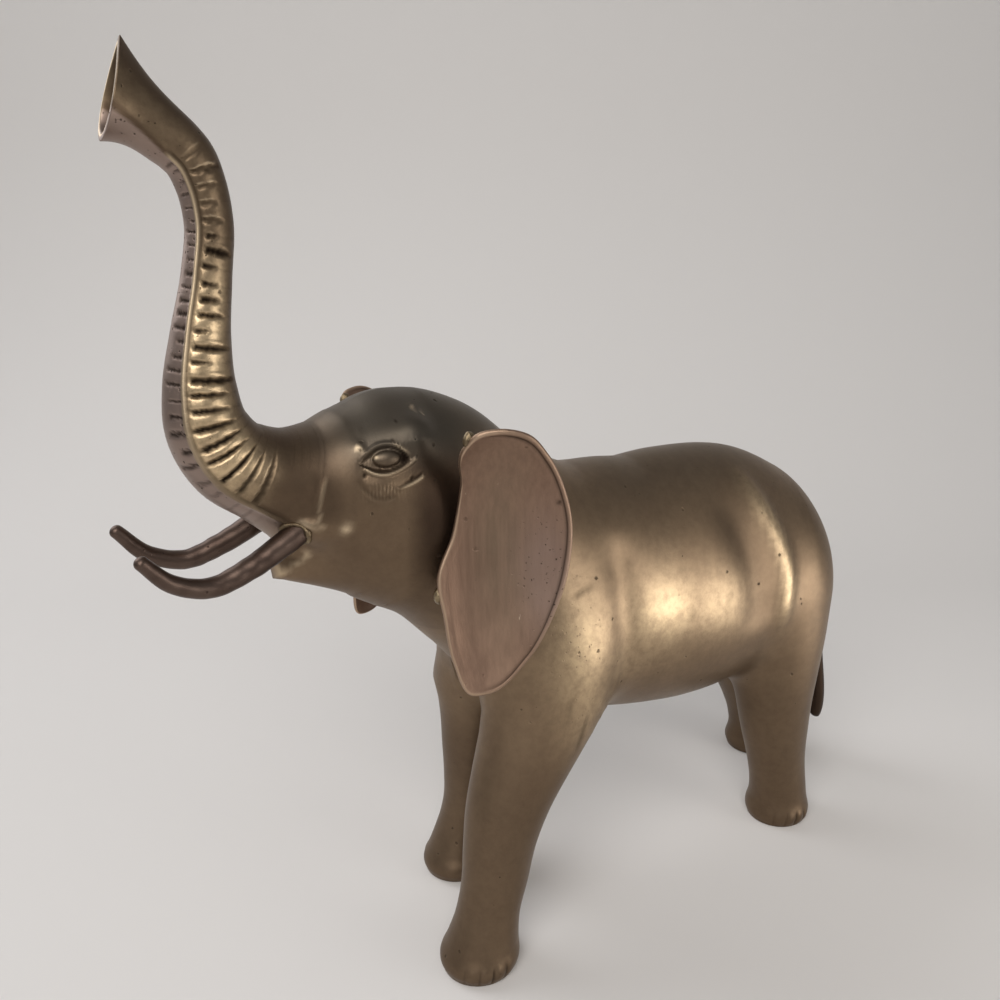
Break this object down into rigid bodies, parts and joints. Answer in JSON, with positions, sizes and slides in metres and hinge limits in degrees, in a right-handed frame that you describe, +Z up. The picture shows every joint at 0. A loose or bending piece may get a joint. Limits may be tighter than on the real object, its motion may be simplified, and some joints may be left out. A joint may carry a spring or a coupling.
{
  "type": "elephant statue",
  "caption": "Walking elephant statue in patinated brass with a raised, ringed trunk, curved tusks and copper-toned ears.",
  "frame": {"origin": "centre of the statue's bounding box, on the plane that its soles stand on", "axes": "+Z up, the elephant faces -Y and its left side is +X"},
  "size_m": [0.1206, 0.3642, 0.355],
  "materials": {
    "cast_brass": "satin patina with pits",
    "ear_copper": "brushed, reddish patina",
    "tusk_bronze": "dark satin"
  },
  "bodies": {
    "root": {"elephant_casting": "cast_brass", "left_ear": "ear_copper", "right_ear": "ear_copper", "left_tusk": "tusk_bronze", "right_tusk": "tusk_bronze"}
  },
  "joints": []
}
